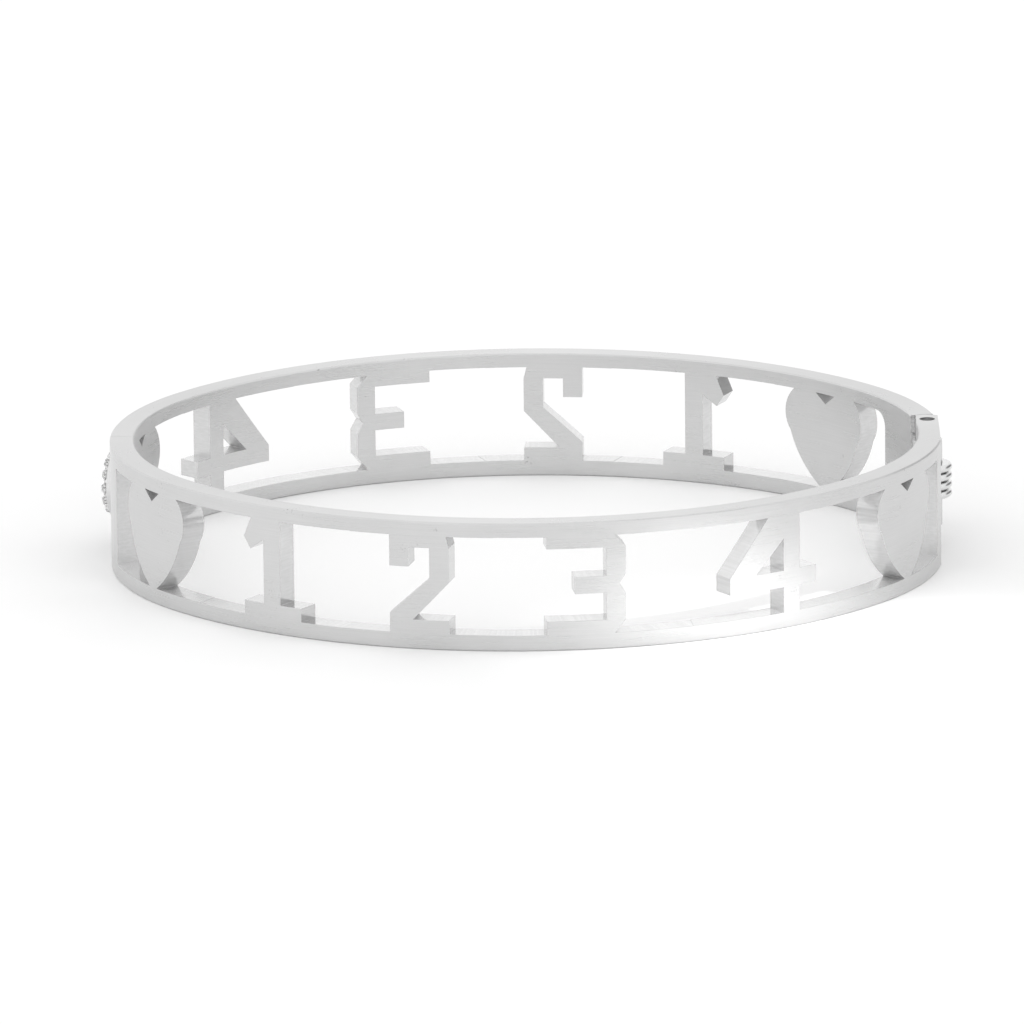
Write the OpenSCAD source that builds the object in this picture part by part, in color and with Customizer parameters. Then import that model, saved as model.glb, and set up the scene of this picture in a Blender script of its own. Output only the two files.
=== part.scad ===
// Oval hinged openwork bangle, lying flat on its lower rim.
// X runs from the clasp to the hinge, Y from front to back, Z up; the origin is
// the middle of the oval on the plane that the bangle rests on.

/* [Oval] */
// Outside length of the oval, from the clasp side to the hinge side
oval_length = 64; // [61:0.5:72]
// Outside depth of the oval, from front to back
oval_depth = 56; // [52:0.5:58.5]
// Thickness of the steel wall
wall = 1.85; // [1.5:0.05:2.1]
// Height of the band
band_h = 9.9; // [8.5:0.1:13]
// Bevel along the rims
rim_bevel = 0.1; // [0.04:0.02:0.2]

/* [Openwork] */
// Height of the upper rail
upper_rail = 1.1; // [0.8:0.05:1.6]
// Height of the lower rail
lower_rail = 1.25; // [0.8:0.05:1.6]
// Width of the strokes of the figures
stroke = 1.5; // [1.1:0.05:1.8]
// Height of the bars that cross or close a figure
bar = 1.3; // [1:0.05:1.6]
// Width of a heart
heart_w = 8.3; // [7:0.1:9]
// Radius of the two lobes of a heart
lobe_r = 2.5; // [2.2:0.05:2.9]
// Width of the notch between the lobes
notch_w = 2.1; // [1.2:0.1:2.6]
// Depth of the notch below the upper rail
notch_d = 0.8; // [0.4:0.05:1]
// Width of figure one
one_w = 5.2; // [4.4:0.1:6]
// Width of figure two
two_w = 4.6; // [4:0.1:5.6]
// Width of figure three
three_w = 6; // [5.2:0.1:7]
// Width of figure four
four_w = 7.8; // [6.6:0.1:8.4]
// Corner radius of the window beside the hinge
corner_r = 1.2; // [0.4:0.1:2]

/* [Hinge] */
// How far the pin lies behind the middle of the oval
pin_y = 3.4; // [2.8:0.1:4.4]
// How far the pin lies outside the middle of the wall
pin_out = 0.1; // [0.04:0.02:0.16]
// How far the flat beside the hinge lies inside the end of the oval
hinge_flat = 0.24; // [0.12:0.02:0.3]
// Thickness of the straight arms of the fork
arm_t = 1.71; // [1.65:0.01:1.8]
// Diameter of the hinge pin
pin_d = 1.1; // [0.8:0.05:1.2]
// Gap between the pin and its bores, on the radius
pin_gap = 0.05; // [0.03:0.01:0.08]
// How deep the pin's ends lie in the bores
pin_sink = 0.45; // [0.2:0.05:0.8]
// Radius of the middle knuckle
barrel_r = 1.15; // [1.05:0.01:1.2]
// Height of each outer knuckle
knuckle_h = 1.5; // [1:0.1:2.2]
// Gap between knuckles, along the pin and around them
knuckle_gap = 0.08; // [0.05:0.01:0.12]
// Distance from the pin to the end face of the rear half
seam_reach = 1.5; // [1.4:0.05:2]

/* [Rib grip] */
// Number of ribs on the middle knuckle
rib_count = 4; // [3:1:5]
// Distance from rib to rib
rib_pitch = 0.69; // [0.6:0.01:0.72]
// Height of one rib
rib_h = 0.6; // [0.45:0.01:0.66]
// Radius that the ribs reach from the pin
rib_reach = 1.92; // [1.8:0.02:2.04]
// Height of the middle of the ribs
rib_z = 5.15; // [4.8:0.05:5.4]
// Thickness of the strip that joins the ribs
rib_base = 0.14; // [0.1:0.01:0.2]
// Angle that the ribs span round the knuckle towards the front half
rib_front_angle = 78; // [44:1:90]
// Angle that the ribs span round the knuckle towards the rear half
rib_rear_angle = 44; // [30:1:45]

/* [Clasp] */
// How far the clasp's seam lies behind the middle of the oval
clasp_y = 0.5; // [0:0.1:0.8]
// Gap of the clasp's seam
clasp_gap = 0.05; // [0.04:0.01:0.15]
// Width of the end bar beside the clasp's seam
end_bar = 1.5; // [1.3:0.1:2]
// Length of tongue that enters the front half
tongue_l = 3.6; // [2.4:0.1:4]
// Length of tongue that is fixed in the rear half
tongue_root = 1; // [0.8:0.05:1.1]
// Thickness of the tongue
tongue_t = 0.5; // [0.4:0.05:0.6]
// Height of the tongue
tongue_h = 4.6; // [3.4:0.1:5]
// Gap round the tongue in its slot
tongue_gap = 0.1; // [0.06:0.01:0.12]
// Gap round the tongue's fixed end
seat_gap = 0.02; // [0.01:0.01:0.04]

/* [Crystal dome] */
// How far the dome's middle lies behind the middle of the oval
dome_y = 5.4; // [4.6:0.1:6.4]
// Radius of the dome
dome_r = 2.65; // [2.6:0.05:2.9]
// Height of the dome's rim above the wall, at its middle
dome_rim = 0.5; // [0.3:0.02:0.6]
// Rise of the dome above its rim
dome_rise = 0.58; // [0.4:0.02:0.7]
// Diameter of one crystal
crystal_d = 0.9; // [0.74:0.02:0.92]
// Distance from one ring of crystals to the next
crystal_pitch = 1.04; // [1.02:0.01:1.08]
// Height of a crystal's crown
crown_h = 0.26; // [0.16:0.02:0.34]
// Depth of a crystal's pavilion in its seat
pavilion_h = 0.2; // [0.12:0.02:0.24]
// Gap between a crystal and its seat
crystal_gap = 0.03; // [0.02:0.01:0.04]

/* [Hidden] */
$fn = 96;
wall_fn = 240;
// Arcs of the wall's middle line: two tight ends and two flatter sides that meet with
// a common tangent, on a triangle of 3 : 4 : 5
mid_a = oval_length / 2 - wall / 2;
mid_b = oval_depth / 2 - wall / 2;
excess = mid_a - mid_b;
end_x = 2 * excess;
end_r = mid_a - end_x;
side_y = 1.5 * excess;
side_r = mid_b + side_y;
end_turn = atan2(side_y, end_x);
side_turn = 90 - end_turn;
side_run = side_r * side_turn * PI / 180;
end_run = end_r * end_turn * PI / 180;
quarter_run = side_run + end_run;
full_run = 4 * quarter_run;

// Openwork rows: kind of figure, place as a share of the full run counted from the
// middle of that half, and width
KIND = 0;
AT = 1;
WIDE = 2;
front_row = [
    ["heart", -0.1809, heart_w],
    ["one", -0.1096, one_w],
    ["two", -0.0440, two_w],
    ["three", 0.0237, three_w],
    ["four", 0.1053, four_w],
    ["heart", 0.1854, heart_w]];
rear_row = [
    ["heart", -0.1477, heart_w],
    ["one", -0.0768, one_w],
    ["two", -0.0121, two_w],
    ["three", 0.0601, three_w],
    ["four", 0.1452, four_w],
    ["heart", 0.2230, heart_w]];
front_edge = 0.2227 * full_run;
rear_hinge_edge = 0.1896 * full_run;
window_h = band_h - upper_rail - lower_rail;
window_lap = 0.8;
rail_ease = 0.02;
rail_bite = 0.3;
foot_z = lower_rail - rail_bite;
foot_top = lower_rail + bar * 0.8;
head_z = lower_rail + window_h + rail_bite;
head_low = lower_rail + window_h - bar * 0.7;
cut_reach = 3.5;
corner_steps = 8;
lap_turn = 2;
past = 1;

// Hinge
pin_r = end_r + pin_out;
pin_turn = asin(pin_y / pin_r);
pin_x = end_x + pin_r * cos(pin_turn);
bore_r = pin_d / 2 + pin_gap;
seam_turn = pin_turn + asin(seam_reach / pin_r);
arm_reach = seam_reach - knuckle_gap;
flat_x = oval_length / 2 - hinge_flat;
arm_y = 1.5;
barrel_z = knuckle_h + knuckle_gap;
barrel_h = band_h - 2 * barrel_z;
rib_inner = barrel_r + seat_gap;
rib_round = rib_h / 2;
rib_stack = (rib_count - 1) * rib_pitch + rib_h;
neck_w = 1.4;
neck_in = 0.4;

// Clasp
clasp_turn = asin(clasp_y / end_r);
gap_turn = asin(clasp_gap / end_r);
clasp_x = -end_x - end_r * cos(clasp_turn);
rear_clasp_edge = quarter_run - clasp_y - clasp_gap - end_bar;
tongue_r = norm([pin_x - clasp_x, pin_y - clasp_y]);
tongue_from = atan((pin_y - clasp_y) / (pin_x - clasp_x));
tongue_mid_z = band_h / 2;

// Crystal dome
dome_turn = asin(dome_y / end_r);
dome_chord = dome_r;
dome_ball = (dome_chord * dome_chord + dome_rise * dome_rise) / (2 * dome_rise);
dome_foot = end_r + wall / 2 + seat_gap;
girdle_h = 0.05;
crystal_sides = 8;
crystal_rings = [[1, 0], [6, crystal_pitch], [12, 1.96 * crystal_pitch]];
crystal_places = [for (ring = crystal_rings) for (i = [0:ring[0] - 1])
    [ring[1], 360 * i / ring[0] + ring[1] * 15]];
function two_digits(n) = n < 10 ? str("0", n) : str(n);
function crystal_name(n) = str("crystal_", two_digits(n));

// Section of the wall about radius 0, with bevelled rims
module wall_section() {
    h = wall / 2;
    c = rim_bevel;
    polygon([[-h + c, 0], [h - c, 0], [h, c], [h, band_h - c],
        [h - c, band_h], [-h + c, band_h], [-h, band_h - c], [-h, c]]);
}

// Arc of the wall that starts at an angle and runs anticlockwise
module wall_arc(radius, from, turn) {
    rotate([0, 0, from]) rotate_extrude(angle = turn, $fn = wall_fn)
        translate([radius, 0]) wall_section();
}

// Quarter of the wall at the front on the right, past the middle of the front and up
// to end_at degrees past the middle of the end
module wall_quarter(end_at) {
    translate([end_x, 0, 0]) wall_arc(end_r, -end_turn, end_turn + end_at);
    mirror([0, 1, 0]) translate([0, -side_y, 0]) wall_arc(side_r, end_turn, side_turn + lap_turn);
}

// Puts children on the middle line of the front half, s millimetres to the right of
// its middle: X outwards, Y along the wall to the right as seen from outside, Z up
module on_front(s) {
    over = abs(s) - side_run;
    centre = over <= 0 ? [0, side_y, 0] : [sign(s) * end_x, 0, 0];
    radius = over <= 0 ? side_r : end_r;
    turn = over <= 0 ? s / side_r * 180 / PI : sign(s) * (side_turn + over / end_r * 180 / PI);
    translate(centre) rotate([0, 0, turn - 90]) translate([radius, 0, 0]) children();
}

// Heart standing on the lower rail, with a notch under the upper rail
module heart(w) {
    mid = band_h - upper_rail - lobe_r * 0.76;
    lobe_x = w / 2 - lobe_r;
    side_x = w / 2 - 0.15;
    side_z = mid + 0.8;
    drop = side_z - lower_rail + rail_bite;
    lens_r = (drop * drop + side_x * side_x) / (2 * side_x);
    difference() {
        union() {
            for (side = [-1, 1]) translate([side * lobe_x, mid]) circle(lobe_r);
            intersection() {
                translate([lens_r - side_x, side_z]) circle(lens_r);
                translate([side_x - lens_r, side_z]) circle(lens_r);
                translate([-w, lower_rail - past]) square([2 * w, mid - lower_rail + past]);
            }
            translate([-lobe_x, mid - past]) square([2 * lobe_x, lobe_r + 0.6]);
        }
        polygon([[-notch_w / 2, band_h - upper_rail], [0, band_h - upper_rail - notch_d],
            [notch_w / 2, band_h - upper_rail]]);
    }
}

// Figure one: stem with a flag and a foot
module figure_one(w) {
    r = w / 2;
    s = stroke / 2;
    polygon([[-r, foot_z], [r, foot_z], [r, foot_top], [s, foot_top], [s, head_z],
        [-s - 0.2 * w, head_z], [-r, lower_rail + window_h * 0.8],
        [-r + 0.12 * w, lower_rail + window_h * 0.68], [-s, lower_rail + window_h * 0.79],
        [-s, foot_top], [-r, foot_top]]);
}

// Figure two: hooked head, slanting neck and a foot
module figure_two(w) {
    r = w / 2;
    s = r - stroke;
    polygon([[-r, head_z], [r - 0.3, head_z], [r, head_low], [r, lower_rail + window_h * 0.53],
        [-r + 1.2 * stroke, foot_top], [r, foot_top], [r, foot_z], [-r, foot_z],
        [-r, lower_rail + window_h * 0.2], [s, lower_rail + window_h * 0.57], [s, head_low],
        [-s, head_low], [-s, lower_rail + window_h * 0.68], [-r, lower_rail + window_h * 0.68]]);
}

// Figure three: three bars joined at the right, waisted between the lower two
module figure_three(w) {
    r = w / 2;
    s = r - stroke;
    mid = lower_rail + window_h / 2;
    polygon([[-r, head_z], [r - 1.1, head_z], [r, head_low], [r, mid + 0.8], [r - 0.5, mid],
        [r, mid - 0.8], [r, foot_top], [r - 1.1, foot_z], [-r, foot_z], [-r, foot_top],
        [s, foot_top], [s, mid - bar / 2], [-0.3 * r, mid - bar / 2], [-0.3 * r, mid + bar / 2],
        [s, mid + bar / 2], [s, head_low], [-r, head_low]]);
}

// Figure four: stem, crossbar and slanting arm round a three-cornered counter
module figure_four(w) {
    r = w / 2;
    cross = lower_rail + window_h * 0.26;
    left = r - w * 0.2 - stroke;
    right = left + stroke;
    difference() {
        polygon([[left, foot_z], [right, foot_z], [right, cross], [r, cross], [r, cross + bar],
            [right, cross + bar], [right, head_z], [left - 0.15 * w, head_z],
            [-r, cross + bar], [-r, cross], [left, cross]]);
        polygon([[-r + 1.5 * stroke, cross + bar], [left, cross + bar], [left, head_z - 1.6 * bar]]);
    }
}

// The figure of one cell
module figure(kind, w) {
    if (kind == "heart") heart(w);
    if (kind == "one") figure_one(w);
    if (kind == "two") figure_two(w);
    if (kind == "three") figure_three(w);
    if (kind == "four") figure_four(w);
}

// Opening of one cell from x = low to x = high, round its figure, taller by ease at both
// rails; round_low rounds the upper corner at its low end
module cell_window(low, high, kind, w, round_low, ease) {
    difference() {
        translate([low, lower_rail - ease]) square([high - low, window_h + 2 * ease]);
        figure(kind, w);
        if (round_low) translate([low, lower_rail + window_h])
            polygon(concat([[-past, past], [-past, -corner_r]],
                [for (i = [0:corner_steps]) corner_r *
                    [1 - cos(90 * i / corner_steps), sin(90 * i / corner_steps) - 1]],
                [[corner_r, past]]));
    }
}

// Cutters of every other figure of a row from figure number start, between the row's two
// end edges; neighbours lap over each other, so the second set is a hair taller
module row_cutters(row, first_edge, last_edge, round_first, start) {
    last = len(row) - 1;
    for (i = [start:2:last]) {
        s = row[i][AT] * full_run;
        low = i == 0 ? first_edge : (row[i - 1][AT] + row[i][AT]) / 2 * full_run - window_lap;
        high = i == last ? last_edge : (row[i][AT] + row[i + 1][AT]) / 2 * full_run + window_lap;
        on_front(s) rotate([90, 0, 90]) translate([0, 0, -cut_reach])
            linear_extrude(2 * cut_reach)
                cell_window(low - s, high - s, row[i][KIND], row[i][WIDE], round_first && i == 0,
                    start * rail_ease);
    }
}

// Puts children at the pin, with X outwards, Y square to the end face of the rear half and
// the lower rim at Z = 0
module at_pin() {
    translate([pin_x, pin_y, 0]) rotate([0, 0, seam_turn]) children();
}

// Upright disc or ring space round the pin
module round_pin(radius, z, h) {
    at_pin() translate([0, 0, z]) cylinder(h = h, r = radius);
}

// The tongue's arc round the pin: grown by g on its sides, from angle a to angle b
module tongue_arc(g, a, b) {
    translate([pin_x, pin_y, tongue_mid_z - tongue_h / 2 - g]) rotate([0, 0, 180 + a])
        rotate_extrude(angle = b - a) translate([tongue_r - tongue_t / 2 - g, 0])
            square([tongue_t + 2 * g, tongue_h + 2 * g]);
}

// Angle that a length takes on the tongue's arc
function on_tongue(length) = length / tongue_r * 180 / PI;

// Space past the ends of the two arms of the fork, whose outer corners are rounded about
// the pin so that the rear half can swing past them
module past_arms() {
    at_pin() translate([0, 0, -past]) linear_extrude(band_h + 2 * past)
        polygon(concat([[-2 * wall, arm_reach + 2 * past], [-2 * wall, arm_reach], [0.1, arm_reach]],
            [for (i = [1:8]) arm_reach * [sin(8 * i), cos(8 * i)]],
            [[2 * wall, arm_reach * 0.4], [2 * wall, arm_reach + 2 * past]]));
}

// Outer side of the straight stretch beside the hinge, before it is ground flat
module straight_stretch() {
    translate([pin_x - 0.2, arm_y, 0]) cube([2, pin_y + arm_reach + 0.5 - arm_y, band_h]);
}

// Space on both sides of the straight arms: beyond the flat and inside of the arms
module beside_arms() {
    translate([flat_x, -6, -past]) cube([2, 16, band_h + 2 * past]);
    translate([flat_x - arm_t - 2, arm_y, -past]) cube([2, 6, band_h + 2 * past]);
}

// Front half: pierced wall with the clasp's slot and the fork of the hinge
module front_band() {
    color([0.83, 0.83, 0.84]) difference() {
        union() {
            wall_quarter(seam_turn);
            straight_stretch();
            mirror([1, 0, 0]) wall_quarter(clasp_turn);
        }
        row_cutters(front_row, -front_edge, front_edge, false, 0);
        row_cutters(front_row, -front_edge, front_edge, false, 1);
        round_pin(bore_r, -past, band_h + 2 * past);
        at_pin() translate([-2 * wall, -barrel_r - knuckle_gap, knuckle_h])
            cube([4 * wall, 4 * wall, band_h - 2 * knuckle_h]);
        past_arms();
        beside_arms();
        round_pin(rib_reach + knuckle_gap, rib_z - rib_stack / 2 - knuckle_gap,
            rib_stack + 2 * knuckle_gap);
        tongue_arc(tongue_gap, tongue_from - on_tongue(past),
            tongue_from + on_tongue(tongue_l + tongue_gap));
    }
}

// Rear half: pierced wall with the middle knuckle and the seat of the tongue
module rear_band() {
    color([0.80, 0.80, 0.81]) difference() {
        union() {
            mirror([0, 1, 0]) wall_quarter(-seam_turn);
            mirror([0, 1, 0]) mirror([1, 0, 0]) wall_quarter(-clasp_turn - gap_turn);
            round_pin(barrel_r, barrel_z, barrel_h);
            at_pin() translate([-neck_w / 2, 0, barrel_z])
                cube([neck_w, seam_reach + neck_in, barrel_h]);
        }
        rotate([0, 0, 180]) row_cutters(rear_row, -rear_hinge_edge, rear_clasp_edge, true, 0);
        rotate([0, 0, 180]) row_cutters(rear_row, -rear_hinge_edge, rear_clasp_edge, false, 1);
        round_pin(bore_r, -past, band_h + 2 * past);
        tongue_arc(seat_gap, tongue_from - on_tongue(tongue_root + seat_gap),
            tongue_from + on_tongue(past));
    }
}

// Pin through the three knuckles
module hinge_pin() {
    color([0.62, 0.62, 0.63]) at_pin() translate([0, 0, pin_sink])
        cylinder(h = band_h - 2 * pin_sink, d = pin_d);
}

// Saddle with round ribs on the outer side of the middle knuckle
module rib_grip() {
    color([0.88, 0.88, 0.89]) at_pin() translate([0, 0, rib_z]) rotate([0, 0, -rib_front_angle])
        rotate_extrude(angle = rib_front_angle + rib_rear_angle) {
            translate([rib_inner, -rib_stack / 2]) square([rib_base, rib_stack]);
            for (i = [0:rib_count - 1]) translate([0, (i - (rib_count - 1) / 2) * rib_pitch]) {
                translate([rib_inner, -rib_round])
                    square([rib_reach - rib_round - rib_inner, rib_h]);
                translate([rib_reach - rib_round, 0]) circle(rib_round);
            }
        }
}

// Flat spring tongue, bent round the pin so that it slides out as the bangle opens
module clasp_tongue() {
    color([0.68, 0.68, 0.69]) tongue_arc(0, tongue_from - on_tongue(tongue_root),
        tongue_from + on_tongue(tongue_l));
}

// Puts children on the outer face of the wall at the dome's middle, with Z outwards
module at_dome() {
    translate([-end_x, 0, band_h / 2]) rotate([0, 0, 180 - dome_turn])
        translate([end_r + wall / 2, 0, 0]) rotate([0, 90, 0]) children();
}

// Puts children on the dome's surface, with Z along its normal
module on_dome(reach, turn) {
    lean = asin(reach / dome_ball);
    at_dome() translate([0, 0, dome_rim + dome_rise - dome_ball]) rotate([0, 0, turn])
        rotate([0, lean, 0]) translate([0, 0, dome_ball]) children();
}

// Domed cup with a drilled seat for each crystal, its back following the wall
module crystal_cup() {
    color([0.78, 0.78, 0.79]) difference() {
        at_dome() intersection() {
            translate([0, 0, -past]) cylinder(h = past + dome_rim + dome_rise, r = dome_r);
            translate([0, 0, dome_rim + dome_rise - dome_ball]) sphere(dome_ball);
        }
        translate([-end_x, 0, -past]) cylinder(h = band_h + 2 * past, r = dome_foot, $fn = 720);
        for (place = crystal_places) on_dome(place[0], place[1])
            translate([0, 0, -pavilion_h - girdle_h])
                cylinder(h = past, r = crystal_d / 2 + crystal_gap, $fn = 32);
    }
}

// Round cut crystal: table, eight crown facets, girdle and eight pavilion facets
module crystal(place) {
    color([0.92, 0.94, 0.97]) on_dome(place[0], place[1]) {
        translate([0, 0, girdle_h / 2])
            cylinder(h = crown_h, d1 = crystal_d, d2 = crystal_d * 0.56, $fn = crystal_sides);
        translate([0, 0, -girdle_h / 2]) cylinder(h = girdle_h, d = crystal_d, $fn = crystal_sides);
        translate([0, 0, -pavilion_h])
            cylinder(h = pavilion_h - girdle_h / 2, d1 = crystal_d * 0.3, d2 = crystal_d,
                $fn = crystal_sides);
    }
}

front_band();
rear_band();
hinge_pin();
rib_grip();
clasp_tongue();
crystal_cup();
for (n = [1:len(crystal_places)])
    crystal(crystal_places[n - 1]);
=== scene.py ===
"""Dresses an oval hinged openwork bangle of satin steel with a crystal dome."""

import logging
import math
from dataclasses import dataclass
from enum import Enum
from typing import Any, Dict, List, Optional, Tuple

import bmesh
import bpy
from mathutils import Matrix, Vector


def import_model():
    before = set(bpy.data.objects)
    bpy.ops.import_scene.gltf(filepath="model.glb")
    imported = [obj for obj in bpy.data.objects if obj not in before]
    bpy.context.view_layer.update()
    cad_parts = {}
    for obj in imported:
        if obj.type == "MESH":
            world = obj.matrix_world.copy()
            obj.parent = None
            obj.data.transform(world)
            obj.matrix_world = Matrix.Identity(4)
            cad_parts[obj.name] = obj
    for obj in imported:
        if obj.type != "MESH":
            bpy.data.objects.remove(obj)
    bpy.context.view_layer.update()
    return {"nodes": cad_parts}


LOG = logging.getLogger("bangle")
MM = 0.001
IMAGE_WIDTH = 1024

Point = Tuple[float, float, float]


class SteelWork(Enum):
    """How a steel surface was worked: the stretch of its marks in X, Y and Z."""

    BRUSHED = (60.0, 60.0, 1.0)
    POLISHED = (8.0, 8.0, 8.0)
    DRAWN = (1.0, 1.0, 40.0)


def linear(hex_colour: str) -> Tuple[float, float, float, float]:
    """Turns an sRGB hex value into linear RGBA.

    Args:
        hex_colour: Six hex digits, with or without a leading hash.

    Returns:
        The linear colour with alpha 1.
    """
    digits = hex_colour.lstrip("#")
    out = []
    for i in (0, 2, 4):
        c = int(digits[i:i + 2], 16) / 255.0
        out.append(c / 12.92 if c <= 0.04045 else ((c + 0.055) / 1.055) ** 2.4)
    return out[0], out[1], out[2], 1.0


def add_node(tree: bpy.types.NodeTree, kind: str, links: Optional[Dict[Any, Any]] = None,
             values: Optional[Dict[Any, Any]] = None, **settings: Any) -> bpy.types.Node:
    """Adds a node with its settings, input values and incoming links.

    Args:
        tree: The node tree that takes the node.
        kind: The node's type name.
        links: Input name or index to the output socket that feeds it.
        values: Input name or index to its default value.
        **settings: Attributes of the node.

    Returns:
        The new node.
    """
    node = tree.nodes.new(kind)
    for name, value in settings.items():
        setattr(node, name, value)
    for key, value in (values or {}).items():
        node.inputs[key].default_value = value
    for key, socket in (links or {}).items():
        tree.links.new(socket, node.inputs[key])
    return node


@dataclass(frozen=True)
class Oval:
    """Plan of the band, for patterns that follow it."""

    half_length_mm: float = 31.075
    half_depth_mm: float = 27.075
    height_mm: float = 9.9

    def along_x(self) -> float:
        """Gives the weight of X in the oval's outward direction."""
        return 1.0 / self.half_length_mm ** 2

    def along_y(self) -> float:
        """Gives the weight of Y in the oval's outward direction."""
        return 1.0 / self.half_depth_mm ** 2


@dataclass(frozen=True)
class CutWall:
    """Walls that the laser cut through the band: glossier, finely striated, thinly oxidised,
    with a painted highlight on the sills and soffits.
    """

    colour: str
    roughness: float = 0.16
    striation_mm: float = 0.16
    striation_depth_mm: float = 0.003
    # Painted highlight: how much paler the sills and soffits are painted
    level_highlight_gain: float = 1.1
    oxide: float = 0.35
    off_rim_mm: float = 0.3


@dataclass(frozen=True)
class SteelFinish:
    """Stainless steel, worked one of three ways.

    The work lines are drawn coarser than grit 400 leaves them, so that they show.
    """

    name: str
    work: SteelWork
    colour: str
    roughness: float
    line_mm: float = 0.05
    line_depth_mm: float = 0.002
    line_strength: float = 0.3
    along: float = 0.0
    haze_mm: float = 6.25
    roughness_swing: float = 0.12
    haze_swing: float = 0.1
    speck_mm: float = 0.16
    cluster_mm: float = 2.24
    nick_depth: float = 0.4
    edge_mm: float = 0.05
    cut: Optional[CutWall] = None
    plan: Oval = Oval()

    def build(self) -> bpy.types.Material:
        """Builds the steel as a node material.

        Returns:
            The material.
        """
        material = bpy.data.materials.new(self.name)
        material.use_nodes = True
        tree = material.node_tree
        tree.nodes.clear()
        coords = add_node(tree, "ShaderNodeTexCoord")
        place = coords.outputs["Object"]
        lines = self.lines(tree, place)
        # Handling haze: soft patches a few millimetres wide
        haze = add_node(tree, "ShaderNodeTexNoise", {"Vector": place},
                        {"Scale": 1.0 / (self.haze_mm * MM), "Detail": 3.0, "Roughness": 0.55})
        rough = add_node(tree, "ShaderNodeMapRange", {"Value": lines.outputs["Fac"]},
                         {"From Min": 0.3, "From Max": 0.7,
                          "To Min": self.roughness * (1.0 - self.roughness_swing),
                          "To Max": self.roughness * (1.0 + self.roughness_swing)})
        hazed = add_node(tree, "ShaderNodeMath", {0: haze.outputs["Fac"]},
                         {1: self.haze_swing, 2: -self.haze_swing / 2.0},
                         operation="MULTIPLY_ADD")
        rough_all = add_node(tree, "ShaderNodeMath",
                             {0: rough.outputs["Result"], 1: hazed.outputs[0]}, operation="ADD")
        tone = add_node(tree, "ShaderNodeMapRange", {"Value": lines.outputs["Fac"]},
                        {"From Min": 0.25, "From Max": 0.75, "To Min": 0.95, "To Max": 1.03})
        worn = self.wear(tree, place, haze, tone)
        colour = add_node(tree, "ShaderNodeMix", {7: worn.outputs[0]},
                          {0: 1.0, 6: linear(self.colour)}, data_type="RGBA",
                          blend_type="MULTIPLY")
        # Tumbling took the sharpness off every edge
        soft = add_node(tree, "ShaderNodeBevel", values={"Radius": self.edge_mm * MM},
                        samples=4)
        bump = add_node(tree, "ShaderNodeBump",
                        {"Height": lines.outputs["Fac"], "Normal": soft.outputs["Normal"]},
                        {"Strength": self.line_strength, "Distance": self.line_depth_mm * MM})
        links = {"Base Color": colour.outputs[2], "Roughness": rough_all.outputs[0],
                 "Normal": bump.outputs["Normal"]}
        if self.cut:
            links = self.cut_walls(tree, coords, links, bump, self.cut)
        if self.along:
            tangent = add_node(tree, "ShaderNodeTangent", direction_type="RADIAL", axis="Z")
            links["Tangent"] = tangent.outputs["Tangent"]
        shader = add_node(tree, "ShaderNodeBsdfPrincipled", links,
                          {"Metallic": 1.0, "Anisotropic": self.along})
        add_node(tree, "ShaderNodeOutputMaterial", {"Surface": shader.outputs["BSDF"]})
        return material

    def wear(self, tree: bpy.types.NodeTree, place: bpy.types.NodeSocket,
             haze: bpy.types.Node, tone: bpy.types.Node) -> bpy.types.Node:
        """Adds faint cloudy patches and a few clusters of fine dark nicks.

        Args:
            tree: The material's tree.
            place: Object coordinates.
            haze: Noise of the cloudy patches.
            tone: Tone of the work marks.

        Returns:
            The node that holds the tone with its wear.
        """
        cloud = add_node(tree, "ShaderNodeMapRange", {"Value": haze.outputs["Fac"]},
                         {"From Min": 0.3, "From Max": 0.7, "To Min": 0.965, "To Max": 1.02})
        patch = add_node(tree, "ShaderNodeTexNoise", {"Vector": place},
                         {"Scale": 1.0 / (self.cluster_mm * MM), "Detail": 1.0})
        near = add_node(tree, "ShaderNodeMapRange", {"Value": patch.outputs["Fac"]},
                        {"From Min": 0.66, "From Max": 0.76})
        dots = add_node(tree, "ShaderNodeTexNoise", {"Vector": place},
                        {"Scale": 1.0 / (self.speck_mm * MM), "Detail": 1.0})
        nick = add_node(tree, "ShaderNodeMapRange", {"Value": dots.outputs["Fac"]},
                        {"From Min": 0.6, "From Max": 0.72})
        both = add_node(tree, "ShaderNodeMath",
                        {0: near.outputs["Result"], 1: nick.outputs["Result"]},
                        operation="MULTIPLY")
        left = add_node(tree, "ShaderNodeMath", {0: both.outputs[0]},
                        {1: -self.nick_depth, 2: 1.0}, operation="MULTIPLY_ADD")
        marked = add_node(tree, "ShaderNodeMath",
                          {0: left.outputs[0], 1: cloud.outputs["Result"]},
                          operation="MULTIPLY")
        return add_node(tree, "ShaderNodeMath",
                        {0: marked.outputs[0], 1: tone.outputs["Result"]},
                        operation="MULTIPLY")

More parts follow.
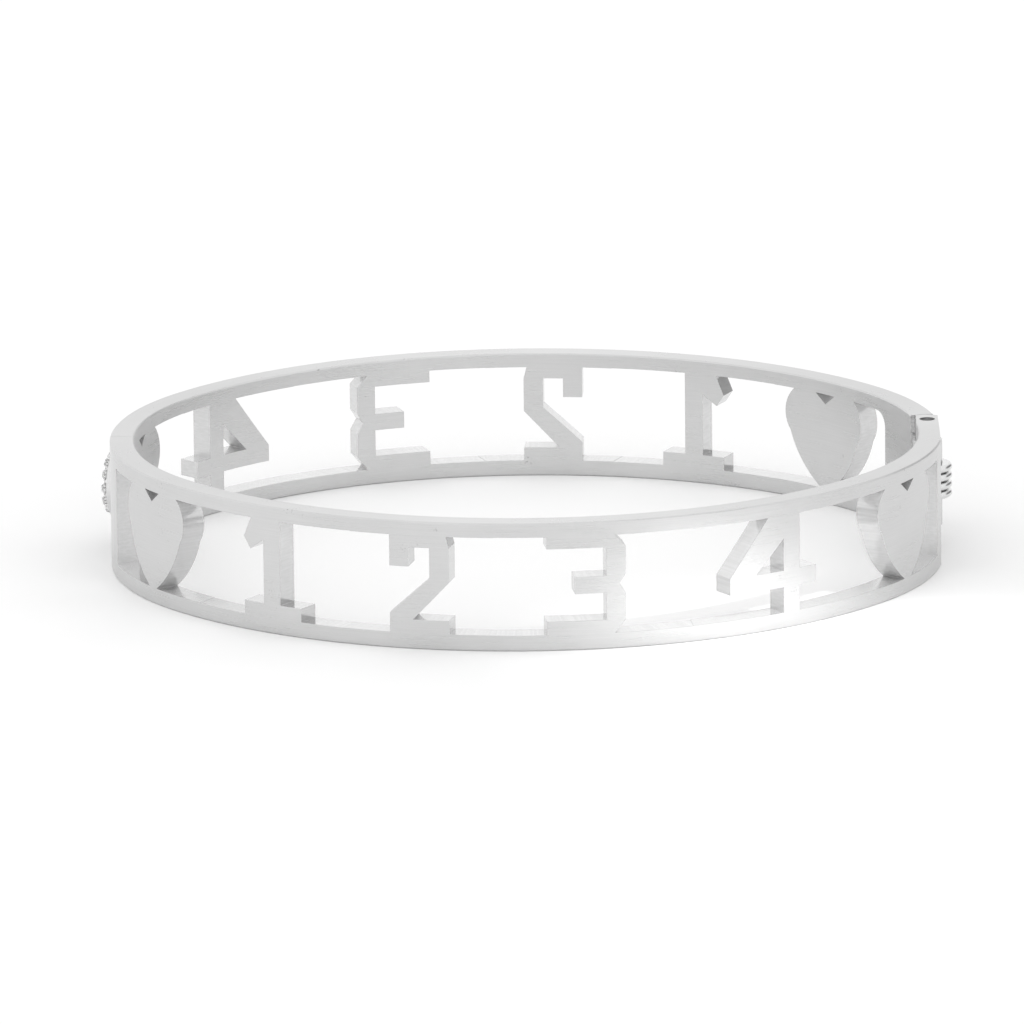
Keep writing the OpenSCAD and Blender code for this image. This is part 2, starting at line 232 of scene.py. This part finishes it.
    def cut_mask(self, tree: bpy.types.NodeTree, coords: bpy.types.Node,
                 place: bpy.types.Node, off_rim_mm: float) -> bpy.types.Node:
        """Finds the walls that neither follow the oval nor lie at a rim.

        Args:
            tree: The material's tree.
            coords: The texture coordinate node.
            place: Object coordinates, split.
            off_rim_mm: How far from the rims the cut walls start.

        Returns:
            The node that is 1 on a cut wall.
        """
        flat_x = add_node(tree, "ShaderNodeMath", {0: place.outputs["X"]},
                          {1: self.plan.along_x()}, operation="MULTIPLY")
        flat_y = add_node(tree, "ShaderNodeMath", {0: place.outputs["Y"]},
                          {1: self.plan.along_y()}, operation="MULTIPLY")
        outwards = add_node(tree, "ShaderNodeCombineXYZ",
                            {"X": flat_x.outputs[0], "Y": flat_y.outputs[0]})
        unit = add_node(tree, "ShaderNodeVectorMath", {0: outwards.outputs[0]},
                        operation="NORMALIZE")
        facing = add_node(tree, "ShaderNodeVectorMath",
                          {0: unit.outputs[0], 1: coords.outputs["Normal"]},
                          operation="DOT_PRODUCT")
        turned = add_node(tree, "ShaderNodeMath", {0: facing.outputs["Value"]},
                          operation="ABSOLUTE")
        off_face = add_node(tree, "ShaderNodeMapRange", {"Value": turned.outputs[0]},
                            {"From Min": 0.55, "From Max": 0.75, "To Min": 1.0, "To Max": 0.0})
        height = self.plan.height_mm * MM
        centred = add_node(tree, "ShaderNodeMath", {0: place.outputs["Z"]},
                           {1: height / 2}, operation="SUBTRACT")
        off_rim = add_node(tree, "ShaderNodeMath", {0: centred.outputs[0]},
                           operation="ABSOLUTE")
        inside = add_node(tree, "ShaderNodeMath", {0: off_rim.outputs[0]},
                          {1: height / 2 - off_rim_mm * MM}, operation="LESS_THAN")
        return add_node(tree, "ShaderNodeMath",
                        {0: off_face.outputs["Result"], 1: inside.outputs[0]},
                        operation="MULTIPLY")

    def cut_walls(self, tree: bpy.types.NodeTree, coords: bpy.types.Node,
                  worked: Dict[str, bpy.types.NodeSocket], bump: bpy.types.Node,
                  wall: CutWall) -> Dict[str, bpy.types.NodeSocket]:
        """Finishes the walls that the laser cut through the band.

        Args:
            tree: The material's tree.
            coords: The texture coordinate node.
            worked: The shader's links on the worked faces.
            bump: Bump of the worked faces.
            wall: Finish of the cut walls.

        Returns:
            The shader's links on all faces.
        """
        place = add_node(tree, "ShaderNodeSeparateXYZ", {0: coords.outputs["Object"]})
        cut = self.cut_mask(tree, coords, place, wall.off_rim_mm)
        # The cutter's striations run straight through the wall, so they change along the
        # band and with height only
        around = add_node(tree, "ShaderNodeMath",
                          {0: place.outputs["Y"], 1: place.outputs["X"]}, operation="ARCTAN2")
        run = add_node(tree, "ShaderNodeMath", {0: around.outputs[0]},
                       {1: self.plan.half_depth_mm * MM}, operation="MULTIPLY")
        sheet = add_node(tree, "ShaderNodeCombineXYZ",
                         {"X": run.outputs[0], "Y": place.outputs["Z"]})
        ribs = add_node(tree, "ShaderNodeTexNoise", {"Vector": sheet.outputs[0]},
                        {"Scale": 1.0 / (wall.striation_mm * MM), "Detail": 2.0,
                         "Roughness": 0.6})
        tone = add_node(tree, "ShaderNodeMapRange", {"Value": ribs.outputs["Fac"]},
                        {"From Min": 0.3, "From Max": 0.7, "To Min": 0.93, "To Max": 1.05})
        # Painted highlight: the cut walls that face up or down, the sills and soffits, are
        # painted paler
        tilt = add_node(tree, "ShaderNodeSeparateXYZ", {0: coords.outputs["Normal"]})
        level = add_node(tree, "ShaderNodeMath", {0: tilt.outputs["Z"]}, operation="ABSOLUTE")
        painted_level_highlight = add_node(tree, "ShaderNodeMapRange", {"Value": level.outputs[0]},
                          {"From Min": 0.5, "From Max": 0.9, "To Min": 1.0,
                           "To Max": wall.level_highlight_gain})
        pale = add_node(tree, "ShaderNodeMath",
                        {0: tone.outputs["Result"], 1: painted_level_highlight.outputs["Result"]},
                        operation="MULTIPLY")
        cut_tone = add_node(tree, "ShaderNodeMix", {7: pale.outputs[0]},
                            {0: 1.0, 6: linear(wall.colour)}, data_type="RGBA",
                            blend_type="MULTIPLY")
        mixed = add_node(tree, "ShaderNodeMix",
                         {0: cut.outputs[0], 6: worked["Base Color"], 7: cut_tone.outputs[2]},
                         data_type="RGBA")
        rougher = add_node(tree, "ShaderNodeMix", {0: cut.outputs[0], 2: worked["Roughness"]},
                           {3: wall.roughness}, data_type="FLOAT")
        # The belt never reached the cut walls
        belt = add_node(tree, "ShaderNodeMath", {0: cut.outputs[0]},
                        {1: -self.line_strength, 2: self.line_strength},
                        operation="MULTIPLY_ADD")
        tree.links.new(belt.outputs[0], bump.inputs["Strength"])
        rib_bump = add_node(tree, "ShaderNodeBump",
                            {"Height": ribs.outputs["Fac"], "Strength": cut.outputs[0],
                             "Normal": bump.outputs["Normal"]},
                            {"Distance": wall.striation_depth_mm * MM})
        # The laser left a thin pale oxide, so light also scatters in deep notches
        oxide = add_node(tree, "ShaderNodeMath", {0: cut.outputs[0]},
                         {1: -wall.oxide, 2: 1.0}, operation="MULTIPLY_ADD")
        return {"Base Color": mixed.outputs[2], "Roughness": rougher.outputs[0],
                "Metallic": oxide.outputs[0], "Normal": rib_bump.outputs["Normal"]}

    def lines(self, tree: bpy.types.NodeTree, place: bpy.types.NodeSocket) -> bpy.types.Node:
        """Adds the marks that the work left.

        Args:
            tree: The material's tree.
            place: Object coordinates.

        Returns:
            The noise node of the marks.
        """
        across = 1.0 / (self.line_mm * MM)
        # Belt marks run round the band, so they are fine in height and long in plan
        scale = tuple(across / stretch for stretch in self.work.value)
        mapping = add_node(tree, "ShaderNodeMapping", {"Vector": place}, {"Scale": scale})
        return add_node(tree, "ShaderNodeTexNoise", {"Vector": mapping.outputs["Vector"]},
                        {"Scale": 1.0, "Detail": 3.0, "Roughness": 0.6})


@dataclass(frozen=True)
class CrystalFinish:
    """Clear lead crystal over a silvered back."""

    name: str
    colour: str
    ior: float
    foil_colour: str
    ball_centre_mm: Point
    ball_radius_mm: float
    clearness: float
    swirl_mm: float = 0.3
    roughness: Tuple[float, float] = (0.015, 0.04)

    def build(self) -> bpy.types.Material:
        """Builds the crystal as a node material, with foil below the dome's surface.

        Returns:
            The material.
        """
        material = bpy.data.materials.new(self.name)
        material.use_nodes = True
        tree = material.node_tree
        tree.nodes.clear()
        coords = add_node(tree, "ShaderNodeTexCoord")
        centre = tuple(v * MM for v in self.ball_centre_mm)
        depth = add_node(tree, "ShaderNodeVectorMath", {0: coords.outputs["Object"]},
                         {1: centre}, operation="DISTANCE")
        foil = add_node(tree, "ShaderNodeMath", {0: depth.outputs["Value"]},
                        {1: self.ball_radius_mm * MM}, operation="LESS_THAN")
        # Fine swirls left by the polishing wheel
        wheel = add_node(tree, "ShaderNodeTexNoise", {"Vector": coords.outputs["Object"]},
                         {"Scale": 1.0 / (self.swirl_mm * MM), "Detail": 2.0})
        rough = add_node(tree, "ShaderNodeMapRange", {"Value": wheel.outputs["Fac"]},
                         {"To Min": self.roughness[0], "To Max": self.roughness[1]})
        tint = add_node(tree, "ShaderNodeMix", {0: foil.outputs[0]},
                        {6: linear(self.colour), 7: linear(self.foil_colour)},
                        data_type="RGBA")
        shader = add_node(tree, "ShaderNodeBsdfPrincipled",
                          {"Base Color": tint.outputs[2], "Metallic": foil.outputs[0],
                           "Roughness": rough.outputs["Result"]},
                          {"IOR": self.ior, "Transmission Weight": self.clearness})
        add_node(tree, "ShaderNodeOutputMaterial", {"Surface": shader.outputs["BSDF"]})
        return material


def dress(node: bpy.types.Object, material: bpy.types.Material) -> None:
    """Gives every slot of an object one material.

    Args:
        node: The object.
        material: Its new material.
    """
    if not node.material_slots:
        node.data.materials.append(material)
    for slot in node.material_slots:
        slot.material = material


@dataclass
class Bangle:
    """The two pierced halves with their hinge and clasp."""

    nodes: Dict[str, bpy.types.Object]
    brushed: SteelFinish = SteelFinish("satin_brushed_stainless_steel", SteelWork.BRUSHED,
                                       "D4D4D4", 0.3, 0.07, along=0.6,
                                       cut=CutWall("D9D9D9"))
    polished: SteelFinish = SteelFinish("polished_stainless_steel", SteelWork.POLISHED,
                                        "DEDEDE", 0.12, 0.05, 0.0005)
    drawn: SteelFinish = SteelFinish("drawn_steel_wire", SteelWork.DRAWN, "C9C9C9", 0.3)

    def build(self) -> None:
        """Dresses the carried-over nodes."""
        brushed, polished, drawn = (finish.build() for finish in
                                    (self.brushed, self.polished, self.drawn))
        for name, material in (("front_band", brushed), ("rear_band", brushed),
                               ("hinge_pin", drawn), ("rib_grip", polished),
                               ("clasp_tongue", drawn), ("crystal_cup", polished)):
            dress(self.nodes[name], material)
            LOG.info("%s: %s", name, material.name)


@dataclass
class CrystalDome:
    """The round cluster of clear stones by the clasp."""

    nodes: Dict[str, bpy.types.Object]
    finish: CrystalFinish = CrystalFinish("foiled_lead_crystal", "FFFFFF", 1.58, "F4F4F4",
                                          (-26.215, 4.387, 4.95), 6.34, 0.8)

    def build(self) -> None:
        """Dresses the stones."""
        material = self.finish.build()
        for name, node in self.nodes.items():
            if name.startswith("crystal_") and name != "crystal_cup":
                dress(node, material)
        LOG.info("crystals: %s", material.name)


@dataclass
class Studio:
    """White sweep, soft light and the camera at the photograph's angle.

    Places of the lamp are in metres, the camera's sizes in millimetres and pixels.
    """

    distance_mm: float = 1060.0
    elevation_deg: float = 14.2
    roll_deg: float = 0.6
    pixels_per_mm: float = 13.0
    centre_px: Tuple[float, float] = (526.8, 495.5)
    target_mm: Point = (0.0, 0.0, 5.0)
    floor_half_m: float = 6.0
    paper: str = "FDFDFD"
    paper_roughness: float = 0.9
    surround: float = 1.07
    flag_strength: float = 0.28
    flag_towards: Point = (0.84, 0.54, 0.05)
    flag_edge: Tuple[float, float] = (0.84, 0.93)
    pool_place: Point = (0.13, -0.16, 0.25)
    pool_aim: Point = (0.0245, -0.0335, 0.0)
    pool_watts: float = 4.6
    pool_cone_deg: float = 7.5
    pool_lamp_m: float = 0.01

    def camera(self) -> None:
        """Places the camera."""
        data = bpy.data.cameras.new("camera")
        data.sensor_width = 36.0
        data.lens = self.pixels_per_mm * self.distance_mm * data.sensor_width / IMAGE_WIDTH
        data.shift_x = (IMAGE_WIDTH / 2 - self.centre_px[0]) / IMAGE_WIDTH
        data.shift_y = (self.centre_px[1] - IMAGE_WIDTH / 2) / IMAGE_WIDTH
        data.clip_start = 0.05
        data.clip_end = 50.0
        cam = bpy.data.objects.new("camera", data)
        bpy.context.scene.collection.objects.link(cam)
        rise = math.radians(self.elevation_deg)
        away = Vector((0.0, -math.cos(rise), math.sin(rise))) * self.distance_mm * MM
        turn = Matrix.Rotation(math.pi / 2 - rise, 4, "X")
        roll = Matrix.Rotation(math.radians(-self.roll_deg), 4, "Z")
        cam.matrix_world = Matrix.Translation(Vector(self.target_mm) * MM + away) @ turn @ roll
        bpy.context.scene.camera = cam

    def floor(self) -> None:
        """Lays the pale floor: matte paper, with no sheen of its own."""
        work = bmesh.new()
        bmesh.ops.create_grid(work, x_segments=2, y_segments=2, size=self.floor_half_m)
        mesh = bpy.data.meshes.new("floor")
        work.to_mesh(mesh)
        work.free()
        material = bpy.data.materials.new("white_paper")
        material.use_nodes = True
        shader = material.node_tree.nodes["Principled BSDF"]
        shader.inputs["Base Color"].default_value = linear(self.paper)
        shader.inputs["Roughness"].default_value = self.paper_roughness
        shader.inputs["Specular IOR Level"].default_value = 0.0
        mesh.materials.append(material)
        floor = bpy.data.objects.new("floor", mesh)
        bpy.context.scene.collection.objects.link(floor)

    def pool(self) -> None:
        """Lights the paper before the right half, which the brushed wall mirrors there."""
        data = bpy.data.lights.new("pool", "SPOT")
        data.energy = self.pool_watts
        data.spot_size = math.radians(self.pool_cone_deg)
        data.spot_blend = 1.0
        data.shadow_soft_size = self.pool_lamp_m
        lamp = bpy.data.objects.new("pool", data)
        # The metal shows the lit paper, and not the lamp itself
        lamp.visible_glossy = False
        bpy.context.scene.collection.objects.link(lamp)
        towards = Vector(self.pool_aim) - Vector(self.pool_place)
        lamp.matrix_world = (Matrix.Translation(Vector(self.pool_place))
                             @ towards.to_track_quat("-Z", "Y").to_matrix().to_4x4())

    def world(self) -> None:
        """Sets a white surround with a dark flag in the right back corner."""
        world = bpy.data.worlds.new("studio")
        bpy.context.scene.world = world
        world.use_nodes = True
        back = world.node_tree.nodes["Background"]
        back.inputs["Color"].default_value = (1.0, 1.0, 1.0, 1.0)
        tree = world.node_tree
        coords = add_node(tree, "ShaderNodeTexCoord")
        towards = add_node(tree, "ShaderNodeVectorMath", {0: coords.outputs["Generated"]},
                           {1: self.flag_towards}, operation="DOT_PRODUCT")
        dimmed = add_node(tree, "ShaderNodeMapRange", {"Value": towards.outputs["Value"]},
                          {"From Min": self.flag_edge[0], "From Max": self.flag_edge[1],
                           "To Min": self.surround, "To Max": self.flag_strength})
        tree.links.new(dimmed.outputs["Result"], back.inputs["Strength"])

    def build(self) -> None:
        """Sets up the studio."""
        self.camera()
        self.floor()
        self.world()
        self.pool()
        view = bpy.context.scene.view_settings
        view.view_transform = "Standard"
        view.look = "None"
        LOG.info("studio set")


def main() -> None:
    """Builds the scene piece by piece."""
    logging.basicConfig(level=logging.INFO, format="%(name)s: %(message)s")
    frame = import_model()
    studio = Studio()
    studio.build()
    Bangle(frame["nodes"]).build()
    CrystalDome(frame["nodes"]).build()


if __name__ == "__main__":
    main()
